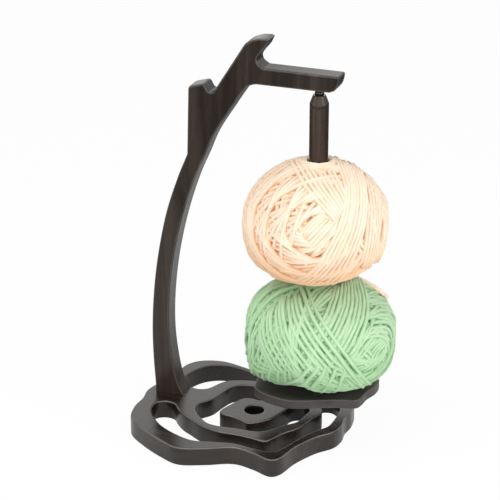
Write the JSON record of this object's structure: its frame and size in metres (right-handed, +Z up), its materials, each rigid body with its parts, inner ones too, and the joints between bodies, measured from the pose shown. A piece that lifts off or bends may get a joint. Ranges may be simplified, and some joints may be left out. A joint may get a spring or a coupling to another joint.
{
  "type": "yarn holder",
  "caption": "Rose-shaped wooden base with a curved branch arm; a spindle with a petal tray hangs, swings and spins under the arm's bar on a magnet and feeds balls of yarn.",
  "frame": {"origin": "on the table, under the middle of the round socket in the heart of the rose", "axes": "+X along the bar from the arm's foot to the spindle, +Y away from the front, +Z up"},
  "size_m": [0.1739, 0.1313, 0.2791],
  "materials": {
    "stained_wood": "satin",
    "bare_wood": "matte",
    "felt": "matte",
    "screw_steel": "satin",
    "ball_steel": "polished",
    "magnet_plating": "polished",
    "mint_yarn": "matte",
    "peach_yarn": "matte"
  },
  "bodies": {
    "stand": {"base_board": "stained_wood", "felt_pads": "felt", "arm": "stained_wood", "foot_dowels": "bare_wood", "foot_screw": "screw_steel", "bar_magnet": "magnet_plating"},
    "hanging_ball": {"pivot_ball": "ball_steel"},
    "cup": {"ball_cup": "screw_steel"},
    "cap": {"spindle_cap": "stained_wood"},
    "spindle": {"spindle_shaft": "stained_wood", "tray": "stained_wood", "tray_screw": "screw_steel"},
    "lower_yarn": {"lower_yarn_ball": "mint_yarn"},
    "upper_yarn": {"upper_yarn_ball": "peach_yarn"}
  },
  "joints": [
    {"name": "spindle_release", "type": "slide", "parent": "stand", "child": "hanging_ball", "axis": [0, -1, 0], "range_m": [0, 0.13]},
    {"name": "swing_front", "type": "hinge", "parent": "hanging_ball", "child": "cup", "pos_m": [0.041, 0.009, 0.24485], "axis": [1, 0, 0], "range_deg": [-12, 12]},
    {"name": "swing_side", "type": "hinge", "parent": "cup", "child": "cap", "pos_m": [0.041, 0.009, 0.24485], "axis": [0, 1, 0], "range_deg": [-12, 12]},
    {"name": "spindle_spin", "type": "hinge", "parent": "cap", "child": "spindle", "pos_m": [0.041, 0.009, 0.2358], "axis": [0, 0, 1], "continuous": true},
    {"name": "lower_yarn_lift", "type": "slide", "parent": "spindle", "child": "lower_yarn", "axis": [0, 0, 1], "range_m": [0, 0.02]},
    {"name": "upper_yarn_lift", "type": "slide", "parent": "lower_yarn", "child": "upper_yarn", "axis": [0, 0, 1], "range_m": [0, 0.02]}
  ]
}
